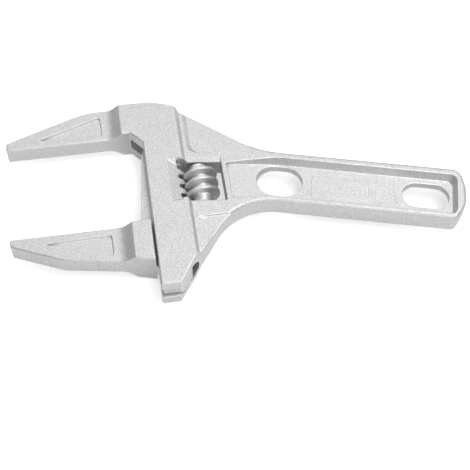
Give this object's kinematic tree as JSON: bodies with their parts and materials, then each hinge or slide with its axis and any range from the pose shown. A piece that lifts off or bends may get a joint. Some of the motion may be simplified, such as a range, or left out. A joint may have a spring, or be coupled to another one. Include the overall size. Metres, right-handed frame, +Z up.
{
  "type": "adjustable wrench",
  "caption": "Wide-opening adjustable wrench: cast aluminium body with fixed jaw, sliding jaw on a rack bar, worm on a pin, slotted handle.",
  "frame": {"origin": "below the middle of the tool lying flat, on the table under it", "axes": "+X from the jaw tips towards the handle's end, +Y along the slide towards the fixed jaw, +Z up through the thickness"},
  "size_m": [0.1995, 0.0981, 0.016],
  "materials": {
    "body": "satin cast",
    "sliding_jaw": "satin cast",
    "worm": "machined",
    "worm_pin": "ground",
    "worm_spring": "drawn wire"
  },
  "bodies": {
    "frame": {"body": "body", "worm_pin": "worm_pin", "worm_spring": "worm_spring"},
    "jaw": {"sliding_jaw": "sliding_jaw"},
    "worm": {"worm": "worm"}
  },
  "joints": [
    {"name": "jaw_slide", "type": "slide", "parent": "frame", "child": "jaw", "axis": [0, 1, 0], "range_m": [-0.02, 0.042]},
    {"name": "worm_spin", "type": "hinge", "parent": "frame", "child": "worm", "pos_m": [-0.0157, 0, 0.008], "axis": [0, 1, 0], "range_deg": [-2910, 1386]}
  ],
  "couplings": [
    {"joint": "worm_spin", "follows": "jaw_slide", "rad_per_m": -1208.3}
  ]
}
